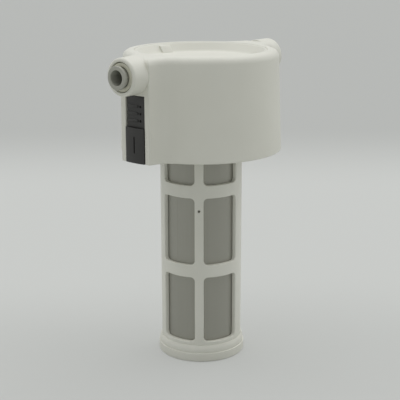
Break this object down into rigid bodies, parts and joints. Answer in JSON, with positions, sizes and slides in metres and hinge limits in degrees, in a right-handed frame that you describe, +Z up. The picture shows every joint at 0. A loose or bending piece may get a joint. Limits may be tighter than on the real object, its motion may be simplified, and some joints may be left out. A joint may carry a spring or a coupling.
{
  "type": "foot valve",
  "caption": "Round-headed foot valve with opposed push-in tube fittings, release latches, a sprung check valve and a mesh-lined strainer cage on a flanged foot.",
  "frame": {"origin": "centre of the foot's resting face, on the axis of the strainer and of the head", "axes": "+Z up along the axis of the strainer, +X along the tube fittings, towards the right-hand fitting"},
  "size_m": [0.1072, 0.0724, 0.142],
  "materials": {
    "white_plastic": "satin moulded",
    "grey_plastic": "satin moulded",
    "natural_plastic": "satin moulded",
    "black_plastic": "fine grained",
    "steel_mesh": "woven wire",
    "spring_steel": "drawn bright",
    "rubber": "smooth moulded"
  },
  "bodies": {
    "head": {"head_shell": "white_plastic", "top_cover": "white_plastic", "bonnet": "natural_plastic", "bonnet_oring": "rubber", "poppet_spring": "spring_steel", "valve_seat": "natural_plastic", "seat_oring": "rubber", "cage_gasket": "rubber", "base_plate": "white_plastic", "strainer_cage": "white_plastic", "mesh_sleeve": "steel_mesh", "foot_cap": "white_plastic", "cartridge_right": "grey_plastic", "cartridge_left": "grey_plastic", "grab_ring_right": "spring_steel", "grab_ring_left": "spring_steel", "spacer_ring_right": "natural_plastic", "spacer_ring_left": "natural_plastic", "tube_oring_right": "rubber", "tube_oring_left": "rubber", "latch_cover_right": "black_plastic", "latch_cover_left": "black_plastic", "latch_spring_right": "spring_steel", "latch_spring_left": "spring_steel"},
    "poppet": {"poppet": "natural_plastic", "poppet_seal": "rubber"},
    "collet_right": {"collet_right": "grey_plastic"},
    "collet_left": {"collet_left": "grey_plastic"},
    "latch_slider_right": {"latch_slider_right": "black_plastic"},
    "latch_slider_left": {"latch_slider_left": "black_plastic"}
  },
  "joints": [
    {"name": "poppet_lift", "type": "slide", "parent": "head", "child": "poppet", "axis": [0, 0, 1], "range_m": [0, 0.0036], "stiffness_N_per_m": 160, "springref_m": -0.004, "deforming": ["poppet_spring"]},
    {"name": "collet_press_right", "type": "slide", "parent": "head", "child": "collet_right", "axis": [-1, 0, 0], "range_m": [0, 0.0013]},
    {"name": "collet_press_left", "type": "slide", "parent": "head", "child": "collet_left", "axis": [1, 0, 0], "range_m": [0, 0.0013]},
    {"name": "latch_slide_right", "type": "slide", "parent": "head", "child": "latch_slider_right", "axis": [0, 0, -1], "range_m": [0, 0.004], "stiffness_N_per_m": 250, "springref_m": -0.003, "deforming": ["latch_spring_right"]},
    {"name": "latch_slide_left", "type": "slide", "parent": "head", "child": "latch_slider_left", "axis": [0, 0, -1], "range_m": [0, 0.004], "stiffness_N_per_m": 250, "springref_m": -0.003, "deforming": ["latch_spring_left"]}
  ]
}
